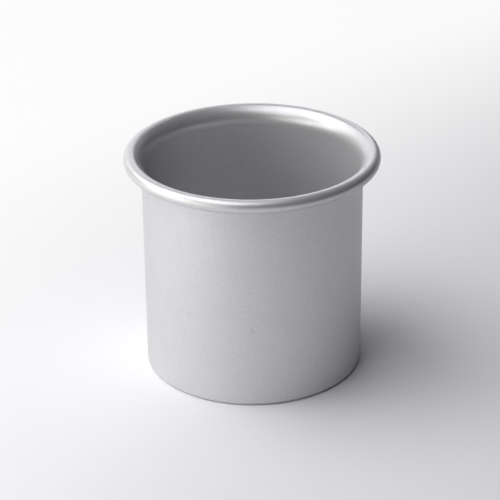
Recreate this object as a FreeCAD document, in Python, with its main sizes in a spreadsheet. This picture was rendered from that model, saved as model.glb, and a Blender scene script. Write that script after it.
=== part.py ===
import FreeCAD, Part
import math
import os

import Sketcher

# Deep round cake tin with a loose base, both of anodised aluminium sheet.
# Millimetres, +Z up, origin at the middle of the foot on the surface that the tin stands on.
# Each piece is one closed section, drawn at radius X and height Z and turned once round the Z axis.

# Driving sizes: name, millimetres, what it is
SIZES = [
    ("bore_radius", 50.0, "inside of the straight wall"),
    ("total_height", 106.0, "from the table to the top of the rim"),
    ("wall_sheet", 1.0, "sheet that the tin is drawn from"),
    ("bend_radius", 0.6, "inside of the bend between wall and ledge"),
    ("ledge_width", 6.0, "how far the ledge reaches in from the wall"),
    ("flare_radius", 9.2, "skin of the flared throat, as seen from inside"),
    ("curl_radius", 3.15, "outer skin of the curled bead"),
    ("rim_overhang", 8.0, "how far the bead stands out from the wall"),
    ("curl_gap", 0.5, "from the curl's cut edge to the underside of the flare"),
    ("base_sheet", 1.0, "sheet that the loose base is pressed from"),
    ("base_clearance", 0.4, "from the edge of the base to the wall"),
    ("hole_clearance", 0.5, "from the step in the base to the ledge's hole"),
    ("step_bend_radius", 1.0, "inside of both bends of the step"),
    ("table_gap", 0.3, "from the middle of the base to the table"),
]

# Points of a sketch's lines and arcs, and its own axes, as its constraints number them
START, END, CENTRE = range(1, 4)
X_AXIS, Y_AXIS = range(-1, -3, -1)
ORIGIN = (X_AXIS, START)


def make_sheet(doc):
    """Write the driving sizes to a spreadsheet, one row each."""
    sheet = doc.addObject("Spreadsheet::Sheet", "Sizes")
    for row, (name, value, meaning) in enumerate(SIZES, start=1):
        sheet.set(f"A{row}", name)
        sheet.set(f"B{row}", str(value))
        sheet.set(f"C{row}", meaning)
        sheet.setAlias(f"B{row}", name)
    doc.recompute()
    return sheet


def polar(centre, radius, angle):
    """The point at a radius and an angle in degrees round a centre."""
    turn = math.radians(angle)
    return (centre[0] + radius * math.cos(turn), centre[1] + radius * math.sin(turn))


class Section:
    """A sketch of a sheet's section, on the XZ plane of its own body."""

    def __init__(self, body, name):
        self.body = body
        self.sketch = body.newObject("Sketcher::SketchObject", name)
        plane = next(f for f in body.Origin.OriginFeatures if f.Role == "XZ_Plane")
        self.sketch.AttachmentSupport = [(plane, "")]
        self.sketch.MapMode = "FlatFace"

    def line(self, start, end):
        segment = Part.LineSegment(FreeCAD.Vector(*start, 0), FreeCAD.Vector(*end, 0))
        return self.sketch.addGeometry(segment, False)

    def arc(self, centre, radius, first, last):
        """An arc that runs counter-clockwise from angle first to angle last, in degrees."""
        circle = Part.Circle(FreeCAD.Vector(*centre, 0), FreeCAD.Vector(0, 0, 1), radius)
        curve = Part.ArcOfCircle(circle, math.radians(first), math.radians(last))
        return self.sketch.addGeometry(curve, False)

    def fix(self, kind, *where):
        return self.sketch.addConstraint(Sketcher.Constraint(kind, *where))

    def size(self, name, expression, kind, *where):
        """A dimension that follows the spreadsheet."""
        index = self.fix(kind, *where, self.sketch.evalExpression(expression))
        self.sketch.renameConstraint(index, name)
        self.sketch.setExpression(f"Constraints.{name}", expression)

    def turn(self, name):
        """Turn the section once round the Z axis."""
        revolution = self.body.newObject("PartDesign::Revolution", name)
        revolution.Profile = self.sketch
        revolution.ReferenceAxis = (self.sketch, ["V_Axis"])
        revolution.Angle = 360.0
        self.body.Tip = revolution


def make_tin_body(doc, sheet):
    """The drawn cup: a pierced floor that leaves a ledge, a plain wall and a flared, curled rim."""
    body = doc.addObject("PartDesign::Body", "tin_body")
    body.Label = "tin_body"
    section = Section(body, "tin_section")

    # Centres and radii that the sizes lead to, as the sketch's first guess
    outside = sheet.bore_radius + sheet.wall_sheet
    hole = sheet.bore_radius - sheet.ledge_width
    corner = sheet.bend_radius + sheet.wall_sheet
    bend = (sheet.bore_radius - sheet.bend_radius, corner)
    curl = (outside + sheet.rim_overhang - sheet.curl_radius, sheet.total_height - sheet.curl_radius)
    curl_inside = sheet.curl_radius - sheet.wall_sheet
    flare_outside = sheet.flare_radius - sheet.wall_sheet
    apart = sheet.flare_radius - sheet.curl_radius
    across = curl[0] - (sheet.bore_radius + sheet.flare_radius)
    down = math.sqrt(apart ** 2 - across ** 2)
    flare = (curl[0] - across, curl[1] - down)

    # The flare runs into the curl on the line through their centres, and the curl ends short of it
    meet = math.degrees(math.atan2(down, across))
    reach = flare_outside - sheet.curl_gap
    opening = math.acos((reach ** 2 - apart ** 2 - sheet.curl_radius ** 2) / (2 * apart * sheet.curl_radius))
    cut = meet + math.degrees(opening) - 360

    foot = section.line((hole, 0), (bend[0], 0))
    outer_bend = section.arc(bend, corner, -90, 0)
    outer_wall = section.line((outside, bend[1]), (outside, flare[1]))
    flare_under = section.arc(flare, flare_outside, meet, 180)
    curl_inner = section.arc(curl, curl_inside, cut, meet)
    curl_edge = section.line(polar(curl, curl_inside, cut), polar(curl, sheet.curl_radius, cut))
    curl_skin = section.arc(curl, sheet.curl_radius, cut, meet)
    flare_skin = section.arc(flare, sheet.flare_radius, meet, 180)
    inner_wall = section.line((sheet.bore_radius, flare[1]), (sheet.bore_radius, bend[1]))
    inner_bend = section.arc(bend, sheet.bend_radius, -90, 0)
    ledge = section.line((bend[0], sheet.wall_sheet), (hole, sheet.wall_sheet))
    hole_edge = section.line((hole, sheet.wall_sheet), (hole, 0))

    # One smooth skin outside and one inside, closed by the two cut edges
    section.fix("Tangent", foot, END, outer_bend, START)
    section.fix("Tangent", outer_bend, END, outer_wall, START)
    section.fix("Tangent", outer_wall, END, flare_under, END)
    section.fix("Tangent", flare_under, START, curl_inner, END)
    section.fix("Coincident", curl_inner, START, curl_edge, START)
    section.fix("Coincident", curl_edge, END, curl_skin, START)
    section.fix("Tangent", curl_skin, END, flare_skin, START)
    section.fix("Tangent", flare_skin, END, inner_wall, START)
    section.fix("Tangent", inner_wall, END, inner_bend, END)
    section.fix("Tangent", inner_bend, START, ledge, START)
    section.fix("Coincident", ledge, END, hole_edge, START)
    section.fix("Coincident", hole_edge, END, foot, START)

    # Both skins bend round the same centres, so the sheet keeps its thickness
    section.fix("Coincident", outer_bend, CENTRE, inner_bend, CENTRE)
    section.fix("Coincident", flare_under, CENTRE, flare_skin, CENTRE)
    section.fix("Coincident", curl_inner, CENTRE, curl_skin, CENTRE)
    section.fix("PointOnObject", curl_skin, CENTRE, curl_edge)
    section.fix("PointOnObject", foot, START, X_AXIS)
    section.fix("Horizontal", foot)
    section.fix("Horizontal", ledge)
    section.fix("Vertical", outer_wall)
    section.fix("Vertical", inner_wall)
    section.fix("Vertical", hole_edge)

    section.size("bore", "Sizes.bore_radius", "DistanceX", *ORIGIN, inner_wall, START)
    section.size("thickness", "Sizes.wall_sheet", "DistanceX", inner_wall, START, outer_wall, END)
    section.size("hole", "Sizes.bore_radius - Sizes.ledge_width", "DistanceX", *ORIGIN, foot, START)
    section.size("bend", "Sizes.bend_radius", "Radius", inner_bend)
    section.size("flare", "Sizes.flare_radius", "Radius", flare_skin)
    section.size("curl", "Sizes.curl_radius", "Radius", curl_skin)
    curl_out = "Sizes.rim_overhang - Sizes.curl_radius"
    section.size("overhang", curl_out, "DistanceX", outer_wall, END, curl_skin, CENTRE)
    section.size("top", "Sizes.total_height - Sizes.curl_radius", "DistanceY", *ORIGIN, curl_skin, CENTRE)
    short_of_flare = "Sizes.flare_radius - Sizes.wall_sheet - Sizes.curl_gap"
    section.size("reach", short_of_flare, "Distance", flare_skin, CENTRE, curl_skin, START)
    section.turn("tin_turned")
    return body


def make_loose_base(doc, sheet):
    """The pressed disc: a flange on the ledge, and a step down that centres it in the hole.

    It is drawn with the underside of its flange at height 0 and placed on the ledge.
    """
    body = doc.addObject("PartDesign::Body", "loose_base")
    body.Label = "loose_base"
    body.setExpression("Placement.Base.z", "Sizes.wall_sheet")
    section = Section(body, "base_section")

    # Centres and radii that the sizes lead to, as the sketch's first guess
    edge = sheet.bore_radius - sheet.base_clearance
    edge_centre = (edge - sheet.bend_radius, sheet.bend_radius)
    under = sheet.table_gap - sheet.wall_sheet
    middle_height = under + sheet.base_sheet
    tight = sheet.step_bend_radius
    wide = tight + sheet.base_sheet
    upper = (sheet.bore_radius - sheet.ledge_width - sheet.hole_clearance, -tight)
    rise = under + wide - upper[1]
    run = math.sqrt((wide + tight) ** 2 - rise ** 2)
    lower = (upper[0] - run, upper[1] + rise)
    slope = math.degrees(math.atan2(run, rise))

    middle = section.line((0, middle_height), (0, under))
    underside = section.line((0, under), (lower[0], under))
    lower_bend_under = section.arc(lower, wide, -90, slope - 90)
    upper_bend_under = section.arc(upper, tight, 90, slope + 90)
    flange_under = section.line((upper[0], 0), (edge_centre[0], 0))
    edge_round = section.arc(edge_centre, sheet.bend_radius, -90, 0)
    edge_line = section.line((edge, edge_centre[1]), (edge, sheet.base_sheet))
    flange_top = section.line((edge, sheet.base_sheet), (upper[0], sheet.base_sheet))
    upper_bend_top = section.arc(upper, wide, 90, slope + 90)
    lower_bend_top = section.arc(lower, tight, -90, slope - 90)
    middle_top = section.line((lower[0], middle_height), (0, middle_height))

    # A smooth skin below and one above, closed by the cut edge and the axis
    section.fix("Coincident", middle, END, underside, START)
    section.fix("Tangent", underside, END, lower_bend_under, START)
    section.fix("Tangent", lower_bend_under, END, upper_bend_under, END)
    section.fix("Tangent", upper_bend_under, START, flange_under, START)
    section.fix("Tangent", flange_under, END, edge_round, START)
    section.fix("Tangent", edge_round, END, edge_line, START)
    section.fix("Coincident", edge_line, END, flange_top, START)
    section.fix("Tangent", flange_top, END, upper_bend_top, START)
    section.fix("Tangent", upper_bend_top, END, lower_bend_top, END)
    section.fix("Tangent", lower_bend_top, START, middle_top, START)
    section.fix("Coincident", middle_top, END, middle, START)

    # Both skins bend round the same centres, so the sheet keeps its thickness
    section.fix("Coincident", lower_bend_under, CENTRE, lower_bend_top, CENTRE)
    section.fix("Coincident", upper_bend_under, CENTRE, upper_bend_top, CENTRE)
    section.fix("PointOnObject", middle, START, Y_AXIS)
    section.fix("PointOnObject", middle, END, Y_AXIS)
    section.fix("PointOnObject", flange_under, START, X_AXIS)
    section.fix("Horizontal", underside)
    section.fix("Horizontal", flange_under)
    section.fix("Horizontal", flange_top)
    section.fix("Horizontal", middle_top)
    section.fix("Vertical", edge_line)

    section.size("edge", "Sizes.bore_radius - Sizes.base_clearance", "DistanceX", *ORIGIN, edge_line, START)
    section.size("thickness", "Sizes.base_sheet", "DistanceY", flange_under, END, flange_top, START)
    section.size("drop", "Sizes.wall_sheet - Sizes.table_gap", "DistanceY", underside, START, *ORIGIN)
    section.size("edge_round", "Sizes.bend_radius", "Radius", edge_round)
    step_start = "Sizes.bore_radius - Sizes.ledge_width - Sizes.hole_clearance"
    section.size("step", step_start, "DistanceX", *ORIGIN, upper_bend_under, CENTRE)
    section.size("upper_bend", "Sizes.step_bend_radius", "Radius", upper_bend_under)
    section.size("lower_bend", "Sizes.step_bend_radius", "Radius", lower_bend_top)
    section.turn("base_turned")
    return body


def check(doc, pieces):
    """Stop if any object failed to build or any piece isn't one sound solid."""
    for item in doc.Objects:
        if "Invalid" in item.State or "Error" in item.State:
            raise RuntimeError(f"{item.Name} failed: {item.State}")
    for piece in pieces:
        shape = piece.Shape
        if shape.isNull() or not shape.isValid() or len(shape.Solids) != 1:
            raise RuntimeError(f"{piece.Label} isn't one sound solid")


def main():
    doc = FreeCAD.newDocument("cake_tin")
    sheet = make_sheet(doc)
    pieces = [make_tin_body(doc, sheet), make_loose_base(doc, sheet)]
    doc.recompute()
    check(doc, pieces)
    os.makedirs("parts", exist_ok=True)
    for piece in pieces:
        piece.Shape.exportStep(f"parts/{piece.Label}.step")


main()
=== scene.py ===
"""Loose-bottom cake tin in satin anodised aluminium, on a pale studio floor.

The tin body and its loose base keep their own shapes. This file gives them their finish, and
sets up the floor, the lamps and the camera.
"""

import math

import bpy
from bpy.props import FloatProperty, FloatVectorProperty, PointerProperty
from bpy.types import Operator, Panel, PropertyGroup
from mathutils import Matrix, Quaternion, Vector


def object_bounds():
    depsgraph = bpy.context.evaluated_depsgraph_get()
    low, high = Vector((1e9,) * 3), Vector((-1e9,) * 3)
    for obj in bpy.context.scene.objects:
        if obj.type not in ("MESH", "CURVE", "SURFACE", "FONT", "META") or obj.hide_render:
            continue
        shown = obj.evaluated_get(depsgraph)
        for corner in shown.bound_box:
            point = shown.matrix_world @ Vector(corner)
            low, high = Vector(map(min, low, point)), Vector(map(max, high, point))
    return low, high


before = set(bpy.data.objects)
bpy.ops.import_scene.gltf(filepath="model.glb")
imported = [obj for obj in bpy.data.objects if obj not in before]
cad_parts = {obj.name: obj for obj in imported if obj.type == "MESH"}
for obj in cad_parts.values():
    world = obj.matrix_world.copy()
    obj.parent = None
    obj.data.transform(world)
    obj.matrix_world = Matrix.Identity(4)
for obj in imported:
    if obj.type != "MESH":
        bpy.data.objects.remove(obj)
cad_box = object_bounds()

bl_info = {
    "name": "Loose-bottom cake tin",
    "version": (1, 0, 0),
    "blender": (4, 5, 0),
    "location": "View3D > Sidebar > Cake tin",
    "description": "Finishes a loose-bottom cake tin and lays out its studio",
    "category": "Object",
}

# The outside of the straight wall, and the two radii between which its marks fade in.
WALL_RADIUS = 0.051
MARKS_FROM = 0.0504
MARKS_AT = 0.0508

# Marks in the front of the wall, each from one point (round the wall from its front, up from the
# floor) to another, with a width and a strength: a short nick, a speck above it and two fainter
# specks at its right. Lengths are in metres.
WALL_MARKS = (
    ((-0.0012, 0.0396), (-0.0001, 0.0383), 0.0014, 0.46),
    ((-0.0016, 0.0580), (-0.0013, 0.0578), 0.0011, 0.52),
    ((0.0197, 0.0705), (0.0199, 0.0703), 0.0009, 0.4),
    ((0.0250, 0.0515), (0.0252, 0.0512), 0.0009, 0.35),
)

# How far the clouds swing between the clean and the dull colour, and what the grain and the
# marks add to the roughness.
CLOUD_TINT = 0.8
GRAIN_ROUGHNESS = 0.1
MARK_ROUGHNESS = 0.1

# The floor's faint tooth, and its painted white glow, which the camera and the tin's reflections
# see: which way the glow grows (right, back), over which distances from the tin in metres, and
# up to what share.
TOOTH_SIZE = 0.004
TOOTH_SHADE = 0.985
FLOOR_ROUGHNESS = 0.9
FLOOR_GLOSS = 0.1
WHITER_WAY = (-0.6, 0.8)
WHITER_FROM = 0.0
WHITER_TO = 0.32
WHITER_SHARE = 0.88
WHITE = (1, 1, 1, 1)

# The lamps: azimuth and elevation in degrees, distance, width and height in metres, power and
# colour. They make a tent of light at the left of the tin, from its front round to its back.
WARM = (0.983, 1.0, 0.91)
PALE = (0.998, 1.0, 0.962)
PLAIN = (1.0, 0.995, 1.0)
COOL = (0.973, 0.973, 1.0)
LIT_POINT = Vector((0, 0, 0.03))
LAMPS = (
    ("high_lamp", -70, 62, 1.5, (1.8, 1.2), 11.5, PLAIN),
    ("left_lamp", -105, 35, 1.5, (1.4, 1.0), 8.3, PALE),
    ("top_lamp", -90, 80, 1.5, (1.6, 1.2), 4.25, COOL),
    ("back_left_lamp", -165, 20, 1.5, (1.6, 0.9), 5.65, COOL),
    ("back_right_lamp", 165, 35, 1.5, (1.2, 1.2), 1.46, COOL),
    ("low_front_lamp", -45, 17, 0.8, (0.6, 0.45), 0.965, WARM),
    ("low_left_lamp", -75, 20, 0.5, (0.4, 0.3), 0.655, WARM),
)
ROOM_LIGHT = (0.96, 0.98, 1.0, 1)

# The picture is square. The tin's middle stands this many pixels right of the picture's middle,
# and this many below it.
PICTURE_PIXELS = 500
PIXELS_RIGHT = 3.04
PIXELS_DOWN = 2.95
SENSOR_WIDTH = 36
NEAREST_SEEN = 0.01


# Shader sums


class Wire:
    """One output of a material's nodes. Sums with it are written as Python sums."""

    def __init__(self, shop, node, output):
        self.shop = shop
        self.node = node
        self.output = output

    @property
    def socket(self):
        return self.node.outputs[self.output]

    def other(self, output):
        return Wire(self.shop, self.node, output)

    def math(self, operation, *values):
        return self.shop.add("ShaderNodeMath", {"operation": operation}, dict(enumerate(values)))

    def __add__(self, other):
        return self.math("ADD", self, other)

    def __radd__(self, other):
        return self.math("ADD", other, self)

    def __sub__(self, other):
        return self.math("SUBTRACT", self, other)

    def __rsub__(self, other):
        return self.math("SUBTRACT", other, self)

    def __mul__(self, other):
        return self.math("MULTIPLY", self, other)

    def __rmul__(self, other):
        return self.math("MULTIPLY", other, self)

    def __truediv__(self, other):
        return self.math("DIVIDE", self, other)

    def root(self):
        return self.math("SQRT", self)

    def angle(self, other):
        """The turn, in radians, whose sine goes with this value and cosine with the other."""
        return self.math("ARCTAN2", self, other)

    def within(self, low, high):
        """The value kept between two numbers."""
        return self.math("MINIMUM", self.math("MAXIMUM", self, low), high)

    def ramp(self, start, end):
        """0 up to start, 1 from end on, and a soft step between them."""
        settings = {"interpolation_type": "SMOOTHSTEP"}
        return self.shop.add("ShaderNodeMapRange", settings, {0: self, 1: start, 2: end})


class Shop:
    """The nodes of one material or world, put in by one method."""

    def __init__(self, owner):
        owner.use_nodes = True
        self.tree = owner.node_tree
        self.tree.nodes.clear()

    def add(self, kind, settings=None, sockets=None, output=0):
        node = self.tree.nodes.new(kind)
        for name, value in (settings or {}).items():
            setattr(node, name, value)
        for name, value in (sockets or {}).items():
            if isinstance(value, Wire):
                self.tree.links.new(value.socket, node.inputs[name])
            else:
                node.inputs[name].default_value = value
        return Wire(self, node, output)

    def place(self):
        """Where a point lies, in metres from the middle of the foot."""
        spot = self.add("ShaderNodeTexCoord").other("Object")
        return spot, self.add("ShaderNodeSeparateXYZ", None, {0: spot})

    def noise(self, spot, size, detail=2.0, roughness=0.5):
        """Cloudy values about 0.5, with clouds of that size in metres."""
        sockets = {"Vector": spot, "Scale": 1.0 / size, "Detail": detail, "Roughness": roughness}
        return self.add("ShaderNodeTexNoise", None, sockets)

    def shade(self, first, second, share):
        """A mix of two colours."""
        return self.add(
            "ShaderNodeMix", {"data_type": "RGBA"}, {0: share, 6: first, 7: second}, output=2
        )


# Sizes and colours


class CakeTinFinish(PropertyGroup):
    colour: FloatVectorProperty(
        name="Aluminium",
        description="Colour of the clean anodised sheet",
        subtype="COLOR",
        size=3,
        min=0.0,
        max=1.0,
        default=(0.693, 0.688, 0.714),
    )
    dull_colour: FloatVectorProperty(
        name="Dull aluminium",
        description="Colour where the anodising lies a little thicker",
        subtype="COLOR",
        size=3,
        min=0.0,
        max=1.0,
        default=(0.641, 0.636, 0.662),
    )
    nick_colour: FloatVectorProperty(
        name="Nick",
        description="Colour in the middle of the nick and the specks",
        subtype="COLOR",
        size=3,
        min=0.0,
        max=1.0,
        default=(0.54, 0.54, 0.56),
    )
    roughness: FloatProperty(
        name="Satin",
        description="Roughness of the etched sheet",
        min=0.0,
        max=1.0,
        default=0.34,
    )
    metal: FloatProperty(
        name="Metal share",
        description="Share of the sheet that mirrors light as metal; the etch scatters the rest",
        min=0.0,
        max=1.0,
        default=0.52,
    )
    layer_gloss: FloatProperty(
        name="Layer gloss",
        description="Gloss of the clear anodised layer over the sheet",
        min=0.0,
        max=1.0,
        default=0.15,
    )
    edge_shine: FloatProperty(
        name="Edge shine",
        description="How brightly the metal mirrors at a glancing angle",
        min=0.0,
        max=1.0,
        default=0.7,
    )
    grain_size: FloatProperty(
        name="Grain size",
        description="Width of the etched grain",
        subtype="DISTANCE",
        unit="LENGTH",
        default=0.00105,
    )
    grain_height: FloatProperty(
        name="Grain height",
        description="Height of the etched grain",
        subtype="DISTANCE",
        unit="LENGTH",
        default=0.000006,
    )
    grain_contrast: FloatProperty(
        name="Grain contrast",
        description="How far the grain swings between the clean and the dull colour",
        min=0.0,
        max=4.0,
        default=2.8,
    )
    cloud_size: FloatProperty(
        name="Cloud size",
        description="Width of the faint clouds in the anodising",
        subtype="DISTANCE",
        unit="LENGTH",
        default=0.014,
    )
    cloud_depth: FloatProperty(
        name="Clouds",
        description="How much the clouds change the roughness",
        min=0.0,
        max=0.2,
        default=0.03,
    )
    nick_depth: FloatProperty(
        name="Nick depth",
        description="Depth of the short nick and the specks in the wall",
        subtype="DISTANCE",
        unit="LENGTH",
        default=0.000006,
    )


class CakeTinStudio(PropertyGroup):
    floor_colour: FloatVectorProperty(
        name="Floor",
        description="Colour of the studio floor",
        subtype="COLOR",
        size=3,
        min=0.0,
        max=1.0,
        default=(0.868, 0.86, 0.893),
    )
    floor_size: FloatProperty(
        name="Floor size",
        description="Side of the square floor",
        subtype="DISTANCE",
        unit="LENGTH",
        default=8.0,
    )
    lamp_level: FloatProperty(
        name="Lamps",
        description="Level of all the lamps together",
        min=0.0,
        max=4.0,
        default=1.0,
    )
    world_strength: FloatProperty(
        name="Room light",
        description="Strength of the even light from the room",
        min=0.0,
        max=2.0,
        default=0.01,
    )
    camera_distance: FloatProperty(
        name="Camera distance",
        description="From the middle of the tin to the camera",
        subtype="DISTANCE",
        unit="LENGTH",
        default=0.9253,
    )
    camera_height: FloatProperty(
        name="Camera elevation",
        description="Angle at which the camera looks down on the tin",
        subtype="ANGLE",
        unit="ROTATION",
        default=math.radians(26.302),
    )
    camera_roll: FloatProperty(
        name="Camera roll",
        description="Turn of the camera about its own line of sight",
        subtype="ANGLE",
        unit="ROTATION",
        default=math.radians(0.589),
    )
    camera_lens: FloatProperty(
        name="Lens",
        description="Focal length on a sensor 36 mm wide",
        subtype="DISTANCE_CAMERA",
        unit="CAMERA",
        default=141.84,
    )


# Finishes


def mark(girth, height, start, end, width, strength):
    """Strength on a short scratch between two points of the wall, each (round, up) in metres."""
    run = (end[0] - start[0], end[1] - start[1])
    length = run[0] ** 2 + run[1] ** 2
    along = (((girth - start[0]) * run[0] + (height - start[1]) * run[1]) / length).within(0, 1)
    aside = girth - start[0] - along * run[0]
    above = height - start[1] - along * run[1]
    away = (aside * aside + above * above).root()
    return (1 - away.ramp(0, width)) * strength


def wall_marks(apart, marks):
    """How strong the marks are at a point; they lie only in the outside of the wall."""
    x, y, z = (apart.other(axis) for axis in "XYZ")
    girth = x.angle(0 - y) * WALL_RADIUS
    outside = (x * x + y * y).root().ramp(MARKS_FROM, MARKS_AT)
    return sum(mark(girth, z, *place) for place in marks) * outside


def anodised(name, finish, marks=()):
    """Satin anodised sheet: etched grain, faint clouds, and the marks where it has any."""
    material = bpy.data.materials.new(name)
    shop = Shop(material)
    spot, apart = shop.place()
    grain = shop.noise(spot, finish.grain_size, 2.0, 0.6) - 0.5
    clouds = shop.noise(spot, finish.cloud_size, 3.0, 0.55) - 0.5
    dull = (grain * finish.grain_contrast + clouds * CLOUD_TINT + 0.5).within(0, 1)
    colour = shop.shade((*finish.colour, 1), (*finish.dull_colour, 1), dull)
    roughness = finish.roughness + clouds * (2 * finish.cloud_depth) + grain * GRAIN_ROUGHNESS
    height = grain * finish.grain_height
    if marks:
        depth = wall_marks(apart, marks)
        colour = shop.shade(colour, (*finish.nick_colour, 1), depth.within(0, 1))
        roughness = roughness + depth * MARK_ROUGHNESS
        height = height - depth * finish.nick_depth
    bump = shop.add("ShaderNodeBump", None, {"Strength": 1.0, "Distance": 1.0, "Height": height})
    edge = finish.edge_shine
    surface = shop.add(
        "ShaderNodeBsdfPrincipled",
        None,
        {
            "Base Color": colour,
            "Metallic": finish.metal,
            "Specular IOR Level": finish.layer_gloss,
            "Specular Tint": (edge, edge, edge, 1),
            "Roughness": roughness.within(0, 1),
            "Normal": bump,
        },
    )
    shop.add("ShaderNodeOutputMaterial", None, {"Surface": surface})
    return material


def dress(node, material):
    """Gives every slot of a node the material."""
    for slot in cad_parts[node].material_slots:
        slot.material = material


def studio_floor(studio):
    """Pale floor with a painted white glow that grows towards the back left, seen by the camera
    and in reflections, which keeps the tin's shadow at its right.
    """
    material = bpy.data.materials.new("studio_floor")
    shop = Shop(material)
    spot, apart = shop.place()
    colour = tuple(studio.floor_colour)
    toothed = tuple(part * TOOTH_SHADE for part in colour)
    tint = shop.shade((*colour, 1), (*toothed, 1), shop.noise(spot, TOOTH_SIZE))
    paper = shop.add(
        "ShaderNodeBsdfPrincipled",
        None,
        {"Base Color": tint, "Roughness": FLOOR_ROUGHNESS, "Specular IOR Level": FLOOR_GLOSS},
    )
    # Painted glow: white emission seen by camera, glossy and transmission rays, growing towards
    # the back left; it is not a lamp.
    painted_glow = shop.add("ShaderNodeEmission", None, {"Color": WHITE, "Strength": 1.0})
    rays = shop.add("ShaderNodeLightPath")
    seen = rays.other("Is Camera Ray") + rays.other("Is Glossy Ray")
    seen = (seen + rays.other("Is Transmission Ray")).within(0, 1)
    way = apart.other("X") * WHITER_WAY[0] + apart.other("Y") * WHITER_WAY[1]
    share = way.ramp(WHITER_FROM, WHITER_TO) * seen * WHITER_SHARE
    both = shop.add("ShaderNodeMixShader", None, {0: share, 1: paper, 2: painted_glow})
    shop.add("ShaderNodeOutputMaterial", None, {"Surface": both})
    return material


def around(azimuth, elevation, distance):
    """A point at that distance: azimuth 0 is the camera's side, and positive is to the right."""
    turn, rise = math.radians(azimuth), math.radians(elevation)
    flat = distance * math.cos(rise)
    return Vector((flat * math.sin(turn), -flat * math.cos(turn), distance * math.sin(rise)))


def lamp(name, place, size, power, colour):
    """A soft lamp of that width and height at a point, turned to the tin and out of sight."""
    data = bpy.data.lights.new(name, "AREA")
    data.shape = "RECTANGLE"
    data.size, data.size_y = size
    data.energy = power
    data.color = colour
    item = bpy.data.objects.new(name, data)
    item.location = place
    item.rotation_mode = "QUATERNION"
    item.rotation_quaternion = (LIT_POINT - place).to_track_quat("-Z", "Y")
    item.visible_camera = False
    bpy.context.scene.collection.objects.link(item)


# Operators


class CAKETIN_OT_tin_body(Operator):
    """Finish the tin body in satin anodised aluminium, with the nick and specks in its wall"""

    bl_idname = "caketin.tin_body"
    bl_label = "Tin body"

    def execute(self, context):
        finish = context.scene.caketin_finish
        dress("tin_body", anodised("tin_satin_aluminium", finish, WALL_MARKS))
        return {"FINISHED"}


class CAKETIN_OT_loose_base(Operator):
    """Finish the loose base in the same satin aluminium, with no marks"""

    bl_idname = "caketin.loose_base"
    bl_label = "Loose base"

    def execute(self, context):
        finish = context.scene.caketin_finish
        dress("loose_base", anodised("base_satin_aluminium", finish))
        return {"FINISHED"}


class CAKETIN_OT_stage(Operator):
    """Set up the pale floor, the soft lamps, the room light and the camera"""

    bl_idname = "caketin.stage"
    bl_label = "Stage"

    def execute(self, context):
        studio = context.scene.caketin_studio
        self.lay_floor(context, studio)
        self.light(context, studio)
        self.place_camera(context, studio)
        context.scene.view_settings.view_transform = "Standard"
        return {"FINISHED"}

    def lay_floor(self, context, studio):
        half = studio.floor_size / 2
        mesh = bpy.data.meshes.new("studio_floor")
        corners = [(-half, -half, 0), (half, -half, 0), (half, half, 0), (-half, half, 0)]
        mesh.from_pydata(corners, [], [(0, 1, 2, 3)])
        mesh.materials.append(studio_floor(studio))
        floor = bpy.data.objects.new("studio_floor", mesh)
        context.scene.collection.objects.link(floor)

    def light(self, context, studio):
        for name, azimuth, elevation, distance, size, power, colour in LAMPS:
            place = around(azimuth, elevation, distance)
            lamp(name, place, size, power * studio.lamp_level, colour)
        world = bpy.data.worlds.new("studio_room")
        context.scene.world = world
        shop = Shop(world)
        room = shop.add(
            "ShaderNodeBackground",
            None,
            {"Color": ROOM_LIGHT, "Strength": studio.world_strength},
        )
        shop.add("ShaderNodeOutputWorld", None, {"Surface": room})

    def place_camera(self, context, studio):
        low, high = cad_box
        middle = Vector((0, 0, (low.z + high.z) / 2))
        tilt = studio.camera_height
        place = middle + studio.camera_distance * Vector((0, -math.cos(tilt), math.sin(tilt)))
        data = bpy.data.cameras.new("camera")
        data.sensor_width = SENSOR_WIDTH
        data.lens = studio.camera_lens
        data.clip_start = NEAREST_SEEN
        camera = bpy.data.objects.new("camera", data)
        camera.location = place
        focal_pixels = studio.camera_lens / SENSOR_WIDTH * PICTURE_PIXELS
        tin_seen = Vector((PIXELS_RIGHT, -PIXELS_DOWN, -focal_pixels))
        straight = (middle - place).to_track_quat("-Z", "Y")
        swing = Vector((0, 0, -1)).rotation_difference(tin_seen)
        roll = Quaternion((0, 0, 1), studio.camera_roll)
        camera.rotation_mode = "QUATERNION"
        camera.rotation_quaternion = straight @ (swing @ roll).inverted()
        context.scene.collection.objects.link(camera)
        context.scene.camera = camera


class CAKETIN_PT_panel(Panel):
    """Pieces, finish and studio of the cake tin"""

    bl_idname = "CAKETIN_PT_panel"
    bl_label = "Cake tin"
    bl_space_type = "VIEW_3D"
    bl_region_type = "UI"
    bl_category = "Cake tin"

    def draw(self, context):
        layout = self.layout
        for operator in OPERATORS:
            layout.operator(operator.bl_idname)
        for title, group in (
            ("Finish", context.scene.caketin_finish),
            ("Studio", context.scene.caketin_studio),
        ):
            column = layout.box().column()
            column.label(text=title)
            for name in group.__annotations__:
                column.prop(group, name)


OPERATORS = (CAKETIN_OT_tin_body, CAKETIN_OT_loose_base, CAKETIN_OT_stage)
CLASSES = (CakeTinFinish, CakeTinStudio, *OPERATORS, CAKETIN_PT_panel)


def register():
    for item in CLASSES:
        bpy.utils.register_class(item)
    bpy.types.Scene.caketin_finish = PointerProperty(type=CakeTinFinish)
    bpy.types.Scene.caketin_studio = PointerProperty(type=CakeTinStudio)


def unregister():
    del bpy.types.Scene.caketin_studio
    del bpy.types.Scene.caketin_finish
    for item in reversed(CLASSES):
        bpy.utils.unregister_class(item)


def main():
    register()
    bpy.ops.caketin.tin_body()
    bpy.ops.caketin.loose_base()
    bpy.ops.caketin.stage()


if __name__ == "__main__":
    main()
